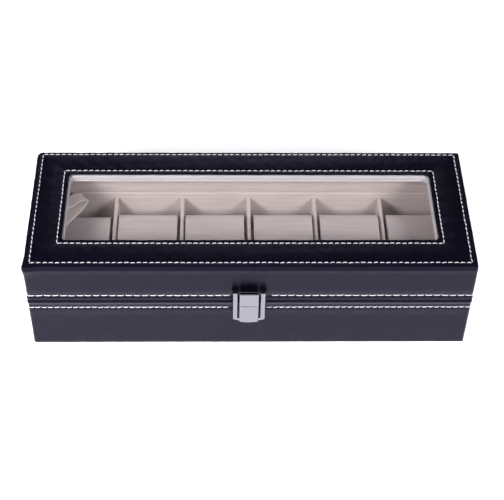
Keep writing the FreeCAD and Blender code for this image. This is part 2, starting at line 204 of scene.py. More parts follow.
# %% A material and its nodes
class Finish:
    """One material's node tree, ending in a Principled shader."""

    def __init__(self, name, **constants):
        self.material = bpy.data.materials.new(name)
        self.material.use_nodes = True
        self.tree = self.material.node_tree
        self.tree.nodes.clear()
        self.output = self.tree.nodes.new("ShaderNodeOutputMaterial")
        self.shader = self.tree.nodes.new("ShaderNodeBsdfPrincipled")
        self.tree.links.new(self.shader.outputs[0], self.output.inputs[0])
        for socket, value in constants.items():
            self.shader.inputs[socket.replace("_", " ")].default_value = value

    def node(self, kind, sockets=None, result=0, stops=None, **settings):
        """Adds a node and returns one of its outputs: settings first, then ramp stops, then sockets."""
        made = self.tree.nodes.new(kind)
        for setting, value in settings.items():
            setattr(made, setting, value)
        if stops:
            ramp = made.color_ramp.elements
            while len(ramp) < len(stops):
                ramp.new(0.5)
            for element, (position, colour) in zip(ramp, stops):
                element.position = position
                element.color = colour
        for socket, value in (sockets or {}).items():
            self.link(value, made.inputs[socket])
        return Value(self, made.outputs[result])

    def link(self, value, socket):
        if isinstance(value, Value):
            self.tree.links.new(value.socket, socket)
        else:
            socket.default_value = value

    def stretched(self, x, y, z):
        """Object coordinates in millimetres, each axis multiplied by its own number."""
        place = self.node("ShaderNodeTexCoord", result="Object")
        scales = (x / MM, y / MM, z / MM)
        return self.node("ShaderNodeVectorMath", {0: place, 1: scales}, operation="MULTIPLY")

    def coordinates(self):
        """Object coordinates in millimetres. Every object sits at the origin, so they are the frame's."""
        return self.stretched(1.0, 1.0, 1.0)

    def noise(self, where, scale, detail=2.0, roughness=0.5):
        return self.node(
            "ShaderNodeTexNoise",
            {"Vector": where, "Scale": scale, "Detail": detail, "Roughness": roughness},
        )

    def mix(self, share, first, second):
        """A colour between two colours."""
        return self.node("ShaderNodeMix", {0: share, 6: first, 7: second}, result=2, data_type="RGBA")

    def attribute(self, name):
        """A number stored on the points of the mesh."""
        return self.node("ShaderNodeAttribute", result="Fac", attribute_name=name)

    def bump(self, height, depth, strength):
        """A height from 0 to 1 as relief of a depth in millimetres."""
        return self.node("ShaderNodeBump", {"Height": height, "Distance": depth * MM, "Strength": strength})

    def paint(self, **sockets):
        """Links or sets the shader's own sockets."""
        for socket, value in sockets.items():
            self.link(value, self.shader.inputs[socket.replace("_", " ")])
        return self.material


print("shader helpers ready")

# %% [markdown]
# ## Surfaces as arrays
# Most of this box is a profile carried round a rounded rectangle: the leather of a wall, the panel round
# the window, the velvet frame under it. So the main tool is a stack of rings. Each column of the grid keeps
# its share of a side, or of a corner's turn, in every ring, so that rings of different sizes join without a
# twist.

# %% Grids and rings
def grid_faces(rows, columns, close_rows=False, close_columns=False):
    """Faces of points numbered row by row. A closed direction joins its last line to its first."""
    r = np.arange(rows if close_rows else rows - 1)[:, None]
    c = np.arange(columns if close_columns else columns - 1)[None, :]
    up, along = (r + 1) % rows, (c + 1) % columns
    corners = (r * columns + c, r * columns + along, up * columns + along, up * columns + c)
    return np.stack(np.broadcast_arrays(*corners), -1).reshape(-1, 4)


def build(name, points, *face_sets):
    """A smooth mesh object from points in millimetres. Each face set is an array, a face in each row."""
    mesh = bpy.data.meshes.new(name)
    mesh.vertices.add(len(points))
    mesh.vertices.foreach_set("co", (np.asarray(points, float) * MM).astype(np.float32).ravel())
    sizes = np.concatenate([np.full(len(faces), faces.shape[1]) for faces in face_sets])
    corners = np.concatenate([faces.ravel() for faces in face_sets]).astype(np.int32)
    mesh.loops.add(len(corners))
    mesh.loops.foreach_set("vertex_index", corners)
    mesh.polygons.add(len(sizes))
    mesh.polygons.foreach_set("loop_start", (np.cumsum(sizes) - sizes).astype(np.int32))
    mesh.update(calc_edges=True)
    mesh.validate()
    mesh.shade_smooth()
    piece = bpy.data.objects.new(name, mesh)
    bpy.context.scene.collection.objects.link(piece)
    return piece


def ring_columns(long_shares, short_shares, arc):
    """For each column: its corner, its share of the corner's turn, and of the side that follows."""
    corner, turn, run = [], [], []
    for number, shares in enumerate((short_shares, long_shares, short_shares, long_shares)):
        corner += [number] * (arc + len(shares))
        turn += list(np.linspace(0, 1, arc)) + [1.0] * len(shares)
        run += [0.0] * arc + list(shares)
    return np.array(corner), np.array(turn), np.array(run)


def even_shares(length, step):
    """Shares that cut a side into equal steps, without its two ends."""
    count = max(1, round(length / step))
    return np.arange(1, count) / count


def rings(rectangles, radii, columns):
    """Points (rows, columns, 2) of rounded rectangles, and each column's outward direction.

    A rectangle is low x, high x, low y, high y. Corners run anticlockwise from the low y, high x one. A
    point on a corner is its centre plus radius times (cos, sin) of the angle, and a point on a side lies
    between the end of one corner and the start of the next."""
    corner, turn, run = columns
    rectangles = np.asarray(rectangles, float)
    radii = np.broadcast_to(np.asarray(radii, float), (len(rectangles), 4))
    centre_x = rectangles[:, [1, 1, 0, 0]] + radii * [-1, -1, 1, 1]
    centre_y = rectangles[:, [2, 3, 3, 2]] + radii * [1, -1, -1, 1]
    angle = np.radians(90.0 * corner - 90.0 + 90.0 * turn)
    after = (corner + 1) % 4
    ends = []
    for which in (corner, after):
        x = centre_x[:, which] + radii[:, which] * np.cos(angle)
        y = centre_y[:, which] + radii[:, which] * np.sin(angle)
        ends.append(np.stack([x, y], -1))
    share = run[None, :, None]
    outward = np.stack([np.cos(angle), np.sin(angle)], -1)
    return ends[0] * (1 - share) + ends[1] * share, outward


def grown(rectangle, amount):
    """A rectangle made larger all round by each amount."""
    amount = np.atleast_1d(amount)[:, None]
    return np.asarray(rectangle, float)[None, :] + amount * [-1, 1, -1, 1]


def bend(centre, radius, start, end, count):
    """Points of an arc in a profile, angles in degrees."""
    angle = np.radians(np.linspace(start, end, count))
    return np.stack([centre[0] + radius * np.cos(angle), centre[1] + radius * np.sin(angle)], -1)


def line(start, end, count):
    """Points of a straight stretch of a profile, without its two ends."""
    share = np.linspace(0, 1, count + 2)[1:-1, None]
    return np.array(start) * (1 - share) + np.array(end) * share


def swell(distance, width):
    """A smooth hump: 1 at distance 0, and nearly 0 beyond twice the width."""
    return np.exp(-((distance / width) ** 2))


WAVES = 5


def ripple(x, y, seed, size):
    """Slow unevenness from -1 to 1: the mean of random waves, about size millimetres long."""
    random = np.random.default_rng(seed)
    total = 0.0
    for _ in range(WAVES):
        angle = random.uniform(0, 2 * math.pi)
        phase = random.uniform(0, 6.28)
        stretch = random.uniform(0.7, 1.6)
        place = x * math.cos(angle) + y * math.sin(angle)
        total = total + np.sin(2 * math.pi * place / (size * stretch) + phase)
    return total / WAVES


def store(piece, name, values):
    """Keeps one number for each point of the mesh, for its material to read."""
    attribute = piece.data.attributes.new(name, "FLOAT", "POINT")
    attribute.data.foreach_set("value", np.asarray(values, np.float32).ravel())


def unwrap(piece, name, u, v):
    """Adds a UV map from two numbers for each point of the mesh."""
    layer = piece.data.uv_layers.new(name=name).data
    point = np.empty(len(piece.data.loops), np.int32)
    piece.data.loops.foreach_get("vertex_index", point)
    layer.foreach_set("uv", np.stack([u[point], v[point]], -1).astype(np.float32).ravel())


def dress(piece, material, slot, body, *replaced):
    """Gives a piece its material and body, and hides the CAD nodes that it stands for. Its slot argument is
    not used.
    """
    piece.data.materials.clear()
    piece.data.materials.append(material)
    if replaced:
        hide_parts(*replaced)
    if body:
        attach(piece, body)
    return piece


# %% [markdown]
# ## Finishes
# The leather is a plastic-faced hide: nearly black, with a fine pebble of rounded cells about half a
# millimetre across, and slightly polished where hands and the lid rub it. The polish follows a number
# called rub that the mesh code stores: above zero near the edges, and below zero in the folds, where the
# finish stays dull.

# %% Leather
def make_leather():
    leather = Finish(
        "black_leather",
        Coat_Roughness=0.28,
        Specular_IOR_Level=0.235,
        Specular_Tint=(0.50, 0.465, 0.92, 1),
    )
    where = leather.coordinates()
    rub = leather.attribute("rub")
    warp = leather.noise(where, 0.35, 2.0)
    cells = leather.node(
        "ShaderNodeTexVoronoi",
        {"Vector": where, "Scale": 1.5, "Randomness": 0.9, "Smoothness": 0.35},
        feature="SMOOTH_F1",
    )
    pores = leather.noise(where, 4.5, 3.0, 0.6)
    creases = leather.noise(where, 0.055, 4.0, 0.62)
    height = cells * -0.8 + pores * 0.25 + creases * 0.5
    worn = (rub * (warp * 0.8 + 0.6)).clip()
    dull = (rub * -1.0).clip()
    colour = leather.mix(worn * 0.5, (0.0014, 0.0011, 0.0034, 1), (0.0056, 0.005, 0.010, 1))
    leather.paint(
        Base_Color=leather.mix(creases * 0.4, colour, (0.0027, 0.0022, 0.0058, 1)),
        Roughness=(0.33 + dull * 0.40 - worn * 0.06 + (creases - 0.5) * 0.18 + (pores - 0.5) * 0.06).clip(),
        Coat_Weight=(worn * 0.08 + 0.01).clip(),
        Normal=leather.bump(height, 0.07, 0.55),
    )
    return leather.material


leather_finish = make_leather()

# %% [markdown]
# Velvet looks soft because its pile stands up and catches light at the edges, which the sheen sockets do.
# Brushed pile also lies in different directions, so the colour drifts a little from patch to patch, and a
# fine grain keeps a close view from looking like card.

# %% Velvet
def make_velvet(name, colour, shade, sheen):
    """Velvet between two colours: the brushed one and the one that the pile shows when it leans away."""
    velvet = Finish(name, Sheen_Weight=sheen, Sheen_Roughness=0.42, Specular_IOR_Level=0.18)
    where = velvet.coordinates()
    swirl = velvet.noise(where, 0.045, 2.5, 0.55)
    brushed = velvet.noise(velvet.stretched(0.03, 0.5, 0.5), 1.0, 3.0, 0.6)
    pile = velvet.noise(where, 5.5, 2.0, 0.7)
    lean = (swirl * 0.8 + brushed * 1.9 - 0.85).clip()
    mottled = velvet.mix(lean, shade, colour)
    velvet.paint(
        Base_Color=velvet.mix((pile * 0.5).clip(), mottled, tuple(0.82 * c for c in shade[:3]) + (1,)),
        Roughness=(0.86 + (pile - 0.5) * 0.12).clip(),
        Normal=velvet.bump(pile * 0.7 + brushed * 0.5, 0.12, 0.5),
    )
    return velvet.material


lining_velvet = make_velvet("lining_velvet", (0.66, 0.565, 0.555, 1), (0.51, 0.43, 0.422, 1), 0.3)
cushion_velvet = make_velvet("cushion_velvet", (0.56, 0.48, 0.485, 1), (0.45, 0.38, 0.385, 1), 0.3)
bezel_velvet = make_velvet("bezel_velvet", (0.64, 0.605, 0.645, 1), (0.53, 0.50, 0.535, 1), 0.3)


# %% [markdown]
# Thread is two plies twisted together, and the ribbon is a flat ribbed weave. Both have patterns that
# follow the piece and not the room, so they read the UV map that their mesh code lays along them.

# %% Thread, ribbon and felt
def make_thread():
    thread = Finish("seam_thread", Roughness=0.55, Sheen_Weight=0.25, Specular_IOR_Level=0.35)
    along = thread.node("ShaderNodeTexCoord", result="UV")
    plies = thread.node(
        "ShaderNodeTexWave",
        {"Vector": along, "Scale": 1.0, "Distortion": 0.0},
        wave_type="BANDS",
        bands_direction="DIAGONAL",
    )
    soil = thread.noise(thread.coordinates(), 0.3, 2.0)
    colour = thread.mix(soil, (0.48, 0.47, 0.52, 1), (0.70, 0.69, 0.74, 1))
    thread.paint(
        Base_Color=thread.mix(plies * 0.25, colour, (0.40, 0.39, 0.44, 1)),
        Normal=thread.bump(plies, 0.08, 0.6),
    )
    return thread.material


def make_ribbon():
    ribbon = Finish("ribbon_satin", Sheen_Weight=0.3, Sheen_Roughness=0.3, Specular_IOR_Level=0.4)
    along = ribbon.node("ShaderNodeTexCoord", result="UV")
    ribs = ribbon.node(
        "ShaderNodeTexWave",
        {"Vector": along, "Scale": 1.0, "Distortion": 0.4, "Detail": 1.0},
        wave_type="BANDS",
        bands_direction="Y",
    )
    threads = ribbon.node(
        "ShaderNodeTexWave",
        {"Vector": along, "Scale": 2.2, "Distortion": 0.3},
        wave_type="BANDS",
        bands_direction="X",
    )
    edge = ribbon.attribute("selvedge")
    plain = ribbon.mix(ribs * 0.5, (0.74, 0.665, 0.635, 1), (0.61, 0.545, 0.52, 1))
    ribbon.paint(
        Base_Color=ribbon.mix(edge * 0.06, plain, (0.78, 0.72, 0.70, 1)),
        Roughness=(0.5 + ribs * 0.2).clip(),
        Normal=ribbon.bump(ribs * 0.7 + threads * 0.3 + edge * 0.15, 0.08, 0.7),
    )
    return ribbon.material


def make_felt():
    felt = Finish("underside_felt", Sheen_Weight=0.3, Specular_IOR_Level=0.1)
    where = felt.coordinates()
    fibres = felt.noise(where, 2.8, 5.0, 0.75)
    clumps = felt.noise(where, 0.3, 2.0)
    fluff = (fibres * 0.7 + clumps * 0.3).clip()
    felt.paint(
        Base_Color=felt.mix(fluff, (0.014, 0.014, 0.016, 1), (0.05, 0.05, 0.054, 1)),
        Roughness=(0.85 + fibres * 0.15).clip(),
        Normal=felt.bump(fibres, 0.3, 0.8),
    )
    return felt.material


thread_finish = make_thread()
ribbon_finish = make_ribbon()
felt_finish = make_felt()

# %% [markdown]
# The latch is nickel-plated steel with a fine vertical brushing. Noise stretched along one axis makes the
# scratches. The boards are fibreboard, which only shows in the hinge recesses and when the box is taken
# apart.

# %% Metal, board and glass
def make_metal(name, colour, brushing, roughness):
    """Plated steel. The smallest of the three brushing numbers is the direction of the scratches."""
    metal = Finish(name, Metallic=1.0)
    scratches = metal.noise(metal.stretched(*brushing), 1.0, 3.0, 0.6)
    clouds = metal.noise(metal.coordinates(), 0.22, 2.0)
    clean = metal.mix(clouds * 0.5, colour, tuple(0.82 * c for c in colour[:3]) + (1,))
    metal.paint(
        # Painted shade: the colour goes nearly to black by a number stored on the mesh, for the parts in the
        # latch's crevice.
        Base_Color=metal.mix(metal.attribute("painted_shade"), clean, (0.035, 0.034, 0.042, 1)),
        Roughness=(roughness + (scratches - 0.5) * 0.16 + (clouds - 0.5) * 0.08).clip(),
        Normal=metal.bump(scratches, 0.02, 0.35),
    )
    return metal.material


def make_board():
    board = Finish("mdf_board", Specular_IOR_Level=0.2)
    where = board.coordinates()
    fibres = board.noise(where, 1.6, 6.0, 0.75)
    flecks = board.noise(board.stretched(0.5, 2.0, 2.0), 1.0, 4.0, 0.7)
    colour = board.mix(fibres, (0.34, 0.235, 0.14, 1), (0.52, 0.39, 0.26, 1))
    board.paint(
        Base_Color=board.mix((flecks * 0.6).clip(), colour, (0.26, 0.17, 0.10, 1)),
        Roughness=(0.75 + fibres * 0.2).clip(),
        Normal=board.bump(fibres, 0.15, 0.7),
    )
    return board.material


def make_glass():
    """A clear pane that lets lamps through. A share of the light is mirrored by Schlick's rule, 0.04 + 0.96
    f^5 for a surface turned away by f, and the rest passes straight on."""
    glass = Finish("window_glass")
    tree = glass.tree
    tree.nodes.remove(glass.shader)
    clear = glass.node("ShaderNodeBsdfTransparent", {"Color": (0.965, 0.975, 0.972, 1)})
    smear = glass.noise(glass.coordinates(), 0.03, 3.0)
    gloss = glass.node("ShaderNodeBsdfGlossy", {"Color": (1, 1, 1, 1), "Roughness": smear * 0.03 + 0.01})
    facing = glass.node("ShaderNodeLayerWeight", {"Blend": 0.5}, result="Facing")
    share = facing ** 5 * 0.96 + 0.04
    mixed = glass.node("ShaderNodeMixShader", {0: share, 1: clear, 2: gloss})
    tree.links.new(mixed.socket, glass.output.inputs[0])
    return glass.material


latch_nickel = make_metal("latch_nickel", (0.275, 0.27, 0.312, 1), (2.5, 2.5, 0.08), 0.20)
hinge_steel = make_metal("hinge_steel", (0.66, 0.65, 0.66, 1), (0.1, 2.5, 2.5), 0.32)
board_finish = make_board()
glass_finish = make_glass()
print(len(bpy.data.materials), "materials")

# %% [markdown]
# ## The floor
# A plain white sheet, large enough that the usual views don't reach its edge. It glows a little, as on a
# light table, so that it stays white far from the soft boxes.

# %% Floor
FLOOR_HALF = 4000.0
FLOOR_BELOW = 0.05
floor_corners = np.array([(-1, -1), (1, -1), (1, 1), (-1, 1)]) * FLOOR_HALF
floor = build("floor", np.column_stack([floor_corners, np.full(4, -FLOOR_BELOW)]), np.array([[0, 1, 2, 3]]))
paper = Finish("white_paper", Roughness=0.9, Emission_Color=(1, 1, 1, 1), Emission_Strength=0.38)
tooth = paper.noise(paper.coordinates(), 0.02, 3.0)
white = paper.mix(tooth, (0.90, 0.90, 0.905, 1), (0.93, 0.93, 0.935, 1))
floor.data.materials.append(paper.paint(Base_Color=white))

# %% [markdown]
# ## Leather on the walls
# The base and the lid are each wrapped by one strip of leather. Its lower or upper edge turns over a rim,
# so that the rim swells into a soft lip, and a sewn row pulls a shallow groove beside it. The profile of
# the strip is a closed loop of points (distance outwards, height). Carrying it round the case gives a
# closed shell, and the lips, the groove and the little pits at the ends of the stitches are added to that
# distance.

# %% Driving sizes, read from the frame
base_high = cad("base_leather_wrap")[1]
skirt_low, skirt_high = cad("lid_skirt_leather")
panel_low, panel_high = cad("lid_top_leather")
half_length, half_depth = base_high[0], base_high[1]
leather = half_length - cad("base_front_board")[1][0]
lining_line = half_length - cad("base_front_lining")[1][0]
flap_low, flap_high = cad("latch_flap")
latch_middle = (flap_low[0] + flap_high[0]) / 2
latch_reach = (flap_high[0] - flap_low[0]) / 2 + 0.6
case_corner = 1.5
case = (-half_length, half_length, -half_depth, half_depth)
leaf_boxes = [cad("base_hinge_leaf_left"), cad("base_hinge_leaf_right")]
print("case", 2 * half_length, "x", 2 * half_depth, "leather", round(leather, 2))

# %% Sewn rows
PITCH = {"lid_wall": 5.45, "base_wall": 4.2, "top_outer": 4.1, "window": 4.1}
HALF_THREAD = 0.35


def seam_height(node):
    """The middle height of a wall seam."""
    low, high = cad(node)
    return (low[2] + high[2]) / 2


def seam_rectangle(node):
    """The centre line of a seam on the lid's top."""
    low, high = cad(node)
    return (low[0] + HALF_THREAD, high[0] - HALF_THREAD, low[1] + HALF_THREAD, high[1] - HALF_THREAD)


def stitch_places(start, end, pitch):
    """Middles of the stitches between two corners, and the exact pitch that divides the side evenly."""
    length = np.linalg.norm(np.subtract(end, start))
    count = round(length / pitch)
    shares = (np.arange(count) + 0.5) / count
    return np.subtract(end, start)[None, :] * shares[:, None] + np.array(start), length / count


def pits(along, length, pitch):
    """How strongly the leather is pulled in: 1 at the holes between stitches, 0 at a stitch's middle."""
    exact = length / np.round(length / pitch)
    return np.cos(math.pi * along / exact) ** 6


# %% Wall columns
WALL_STEP = 1.0
FLARE, FLARE_SPREAD = 0.9, 45


def wall_columns():
    """Columns round the case, with extra ones close beside the cuts for the hinge leaves."""
    straight = half_length - case_corner
    x = list(even_shares(2 * straight, WALL_STEP) * 2 * straight - straight)
    for low, high in leaf_boxes:
        for edge in (low[0] - 0.1, high[0] + 0.1):
            x += [edge - 0.02, edge + 0.02]
    long_shares = (np.unique(np.round(x, 3)) + straight) / (2 * straight)
    return ring_columns(long_shares, even_shares(2 * (half_depth - case_corner), WALL_STEP), 7)


columns = wall_columns()


def wrap(
    name, profile, seam_z, pitch, lips, dull_from, dull_to, cut_rows, cut_height, corner_radii, flare=0.0
):
    """A closed leather strip round the case.

    profile is a closed loop of (outwards, z). Where a row lies on the outer face, the distance outwards
    gains the lips, loses the seam's groove, and wanders by a tenth of a millimetre. cut_rows are the
    profile's rows on the rim, which move to cut_height where a hinge leaf lies in the leather. The leather
    grows dull between the heights dull_from and dull_to. flare is how far the thick fold at the upper front
    left corner sticks out."""
    outwards, z = profile[:, 0], profile[:, 1]
    radii = np.maximum(np.array(corner_radii)[None, :] + outwards[:, None], 0.05)
    flat, normal = rings(grown(case, outwards), radii, columns)
    x, y = flat[..., 0], flat[..., 1]
    outer = swell(np.minimum(outwards, 0), 0.35)[:, None]
    along = np.where(np.abs(normal[:, 0]) > 0.7, y + half_depth, x + half_length)
    length = np.where(np.abs(normal[:, 0]) > 0.7, 2 * half_depth, 2 * half_length)[None, :]
    away = (z - seam_z)[:, None]
    hidden = (np.abs(x - latch_middle) < latch_reach) & (y < 0)
    pull = swell(away, 1.5) * 0.16 + swell(away, 0.9) * np.where(hidden, 0, 0.26 * pits(along, length, pitch))
    grow = sum(size * swell(z - place, width) for place, width, size in lips)[:, None]
    wander = 0.11 * ripple(x + y, z[:, None], 5, 34) + 0.05 * ripple(x - y, z[:, None], 6, 9)
    corner = np.exp(-((x - case[0]) ** 2 + (y - case[2]) ** 2) / FLARE_SPREAD)
    corner = corner * swell(z - skirt_high[2], 6)[:, None]
    push = outer * (grow - pull + wander + flare * corner)
    heights = np.broadcast_to(z[:, None, None], x.shape + (1,))
    points = np.concatenate([flat + push[..., None] * normal[None], heights], 2)
    for low, high in leaf_boxes:
        inside = (x > low[0] - 0.1) & (x < high[0] + 0.1) & (y > 0) & (normal[None, :, 1] > 0.9)
        rim = inside & cut_rows[:, None]
        points[..., 2] = np.where(rim, cut_height, points[..., 2])
    piece = build(name, points.reshape(-1, 3), grid_faces(len(z), len(columns[0]), True, True))
    polish = sum(swell(z - place, width) for place, width, _ in lips)
    fold = np.clip((z - dull_from) / (dull_to - dull_from), 0, 1) + (outwards < -0.3)
    store(piece, "rub", np.broadcast_to(np.where(fold > 0, -np.clip(fold, 0, 1), polish)[:, None], x.shape))
    return piece


# %% The base's leather
TURN_UNDER = 2.2
LIP = 1.25
base_seam = seam_height("base_wall_stitching")
rim = base_high[2]
tail = 0.10
base_profile = np.concatenate([
    line((-TURN_UNDER - 0.1, tail), (-0.9, tail), 2),
    bend((-0.9, tail + 0.9), 0.9, -90, 0, 5),
    line((0, tail + 0.9), (0, base_seam - 3.6), 15),
    line((0, base_seam - 3.7), (0, base_seam + 3.7), 17),
    line((0, base_seam + 3.6), (0, rim - LIP), 8),
    bend((-LIP, rim - LIP), LIP, 0, 90, 8),
    line((-LIP, rim), (-lining_line, rim), 4),
    np.array([(-lining_line, rim), (-lining_line, rim - leather + 0.03), (-leather, rim - leather + 0.03)]),
    line((-leather, rim - leather), (-leather, 0.6), 3),
    np.array([(-leather, 0.55), (-TURN_UNDER, 0.55)]),
])
base_lips = [(rim - 1.6, 1.3, 0.42), (base_seam + 4.3, 0.9, 0.16), (base_seam - 4.2, 2.4, 0.12)]
on_rim = (base_profile[:, 1] > rim - 0.5) & (base_profile[:, 1] < rim + 0.1)
base_wrap = wrap(
    "base_leather", base_profile, base_seam, PITCH["base_wall"], base_lips, rim - 1.7, rim - 0.9, on_rim,
    rim - leather, (case_corner,) * 4
)
dress(base_wrap, leather_finish, "black_leather", "base", "base_leather_wrap")

# %% The lid's leather
lid_seam = seam_height("lid_wall_stitching")
lid_rim, skirt_top = skirt_low[2], skirt_high[2]
lid_profile = np.concatenate([
    np.array([(-lining_line, lid_rim)]),
    line((-lining_line, lid_rim), (-0.8, lid_rim), 4),
    bend((-0.8, lid_rim + 0.8), 0.8, -90, 0, 7),
    line((0, lid_rim + 0.8), (0, lid_seam + 3.4), 21),
    line((0, lid_seam + 3.4), (0, skirt_top - 1.1), 15),
    bend((-0.45, skirt_top - 0.95), 0.45, 0, 90, 4),
    np.array([(-0.62, skirt_top - 0.42), (-0.62, skirt_top - 0.02), (-leather, skirt_top - 0.02)]),
    line((-leather, skirt_top - 1), (-leather, lid_rim + leather), 3),
    np.array([(-leather, lid_rim + leather - 0.03), (-lining_line, lid_rim + leather - 0.03)]),
])
lid_lips = [(lid_rim + 1.5, 1.2, 0.45), (lid_seam + 3.6, 2.2, 0.10), (skirt_top - 2.4, 1.6, 0.10)]
on_rim = lid_profile[:, 1] < lid_rim + 0.5
lid_wrap = wrap(
    "lid_leather", lid_profile, lid_seam, PITCH["lid_wall"], lid_lips, skirt_top - 1.3, skirt_top - 0.9,
    on_rim, lid_rim + leather, (case_corner, case_corner, 2.6, case_corner), flare=FLARE
)
dress(lid_wrap, leather_finish, "black_leather", "lid", "lid_skirt_leather")
print("wall leather", len(base_wrap.data.polygons), len(lid_wrap.data.polygons))

# %% [markdown]
# ## Leather round the window
# The lid's top is one panel over thin padding with the window cut out of it. It rises between its two sewn
# rows and rolls over at both edges. Here the rings change shape as they go: from the case's outline,
# through the two seams, which aren't centred, to the window. One corner at the back is rounder, because the
# hide is folded there.

# %% The top panel
BACK_LEFT_RADIUS = 4.0
HOLE_RADIUS = 3.0
PANEL_LONG, PANEL_SHORT, PANEL_STEP = 297, 108, 0.9
outer_seam = seam_rectangle("top_outer_stitching")
window_seam = seam_rectangle("window_stitching")
GLASS_LAP = 4.7
REVEAL = 0.8
glass_low, glass_high = cad("glass_pane")
bezel_hole = (
    glass_low[0] + GLASS_LAP, glass_high[0] - GLASS_LAP, glass_low[1] + GLASS_LAP, glass_high[1] - GLASS_LAP
)
window = (bezel_hole[0] - REVEAL, bezel_hole[1] + REVEAL, bezel_hole[2], bezel_hole[3])
top_z, panel_z = panel_high[2], panel_low[2]


def between(first, second, shares):
    """Rows that change evenly from one row of numbers to another."""
    shares = np.asarray(shares)[:, None]
    return np.asarray(first)[None, :] * (1 - shares) + np.asarray(second)[None, :] * shares


def outline(rectangle, radii, inset=0.0):
    """A row: the rectangle moved in, its four radii less the inset."""
    moved = grown(rectangle, -inset)[0]
    return np.concatenate([moved, np.maximum(np.array(radii, float) - inset, 0.1)])


def crowded(count):
    """Shares from 0 to 1 that crowd towards both ends."""
    return 0.5 - 0.5 * np.cos(math.pi * np.linspace(0, 1, count))


def top_panel():
    """Rows of the panel: its lower outer edge, over the top, down into the window, back underneath."""
    case_radii = (case_corner, case_corner, BACK_LEFT_RADIUS, case_corner)
    seam_radii, hole_radii = (1.0,) * 4, (HOLE_RADIUS,) * 4
    edge, roll = 1.0, 0.8
    turn = np.linspace(0, math.pi / 2, 6)
    rows = [np.append(outline(case, case_radii, 0.25), panel_z + 0.02)]
    for a in turn:
        rounded = outline(case, case_radii, edge * (1 - math.cos(a)))
        rows.append(np.append(rounded, top_z - edge * (1 - math.sin(a))))
    flat = [
        outline(case, case_radii, edge),
        outline(outer_seam, seam_radii),
        outline(window_seam, seam_radii),
        outline(window, hole_radii, -roll),
    ]
    for first, second, count in zip(flat[:-1], flat[1:], (9, 19, 9)):
        rows += [np.append(row, top_z) for row in between(first, second, crowded(count)[1:])]
    for a in turn[1:]:
        rolled = outline(window, hole_radii, -roll * (1 - math.sin(a)))
        rows.append(np.append(rolled, top_z - roll * (1 - math.cos(a))))
    rows.append(np.append(outline(window, hole_radii), panel_z + 0.05))
    rows.append(np.append(outline(window, hole_radii, -3.0), panel_z + 0.02))
    return np.array(rows)


def distance_to(rectangle, x, y):
    """Distance of points from the sides of a rectangle."""
    beyond_x = np.maximum(rectangle[0] - x, x - rectangle[1])
    beyond_y = np.maximum(rectangle[2] - y, y - rectangle[3])
    outside = np.hypot(np.maximum(beyond_x, 0), np.maximum(beyond_y, 0))
    return np.where((beyond_x < 0) & (beyond_y < 0), -np.maximum(beyond_x, beyond_y), outside)


def seam_pits(rectangle, pitch, x, y, normal):
    """Pits of the seam that a column crosses, by its place along the side that it faces."""
    sideways = np.abs(normal[:, 0]) > 0.7
    along = np.where(sideways[None, :], y - rectangle[2], x - rectangle[0])
    length = np.where(sideways, rectangle[3] - rectangle[2], rectangle[1] - rectangle[0])[None, :]
    return pits(along, length, pitch)


panel_rows = top_panel()
panel_columns = ring_columns(even_shares(PANEL_LONG, PANEL_STEP), even_shares(PANEL_SHORT, PANEL_STEP), 7)
flat, normal = rings(panel_rows[:, :4], panel_rows[:, 4:8], panel_columns)
x, y = flat[..., 0], flat[..., 1]
upper = swell(np.minimum(panel_rows[:, 8] - top_z, 0), 0.5)[:, None]
from_outer, from_window = distance_to(outer_seam, x, y), distance_to(window_seam, x, y)
crown = np.clip(from_outer / 9, 0, 1) * np.clip(from_window / 9, 0, 1)
is_between = (x > outer_seam[0]) & (x < outer_seam[1]) & (y > outer_seam[2]) & (y < outer_seam[3])
lift = np.where(is_between, 0.45 * crown ** 0.7, 0.0)
lift = lift + 0.10 * ripple(x, y, 11, 46) + 0.05 * ripple(x, y, 12, 13)
dip = 0.18 * swell(from_outer, 1.1) + 0.18 * swell(from_window, 1.1)
dip = dip + 0.24 * swell(from_outer, 0.7) * seam_pits(outer_seam, PITCH["top_outer"], x, y, normal)
dip = dip + 0.24 * swell(from_window, 0.7) * seam_pits(window_seam, PITCH["window"], x, y, normal)
panel_z_values = panel_rows[:, 8][:, None] + upper * (lift - dip)
outside = swell(np.maximum(-distance_to(case, x, y) - 0.6, 0), 0.8)
flare = FLARE * np.exp(-((x - case[0]) ** 2 + (y - case[2]) ** 2) / FLARE_SPREAD)
sideways = outside * (0.13 * ripple(x, y, 31, 17) + 0.09 * ripple(x, y, 32, 6) + flare)
upwards = outside * (0.12 * ripple(x, y, 33, 14) + 0.08 * ripple(x, y, 34, 5) - 0.2 * flare)
flat = flat + sideways[..., None] * normal[None]
panel_z_values = panel_z_values + upwards
panel_points = np.concatenate([flat, panel_z_values[..., None]], 2)
panel_faces = grid_faces(len(panel_rows), x.shape[1], True, True)
top_piece = build("top_panel_leather", panel_points.reshape(-1, 3), panel_faces)
edge_rub = 0.4 * swell(distance_to(window, x, y), 1.0) - 0.9 * swell(distance_to(case, x, y), 1.3)
store(top_piece, "rub", edge_rub)
dress(top_piece, leather_finish, "black_leather", "lid", "lid_top_leather")
print("top panel", len(top_piece.data.polygons), "faces")

# %% [markdown]
# ## Stitches
# There are some seven hundred stitches, so each has only a few dozen faces. A stitch is a short elliptical
# tube whose middle lies on the leather and whose ends dive into their holes. All the stitches of a seam are
# one array: the template's three coordinates are multiplied by each stitch's own three directions. The
# machine leaves them a little slanted and uneven, which a seeded random generator repeats.

# %% One stitch, many times
STITCH_RINGS, STITCH_SIDES = 7, 6
THREAD_WIDTH, THREAD_HEIGHT = 0.66, 0.54


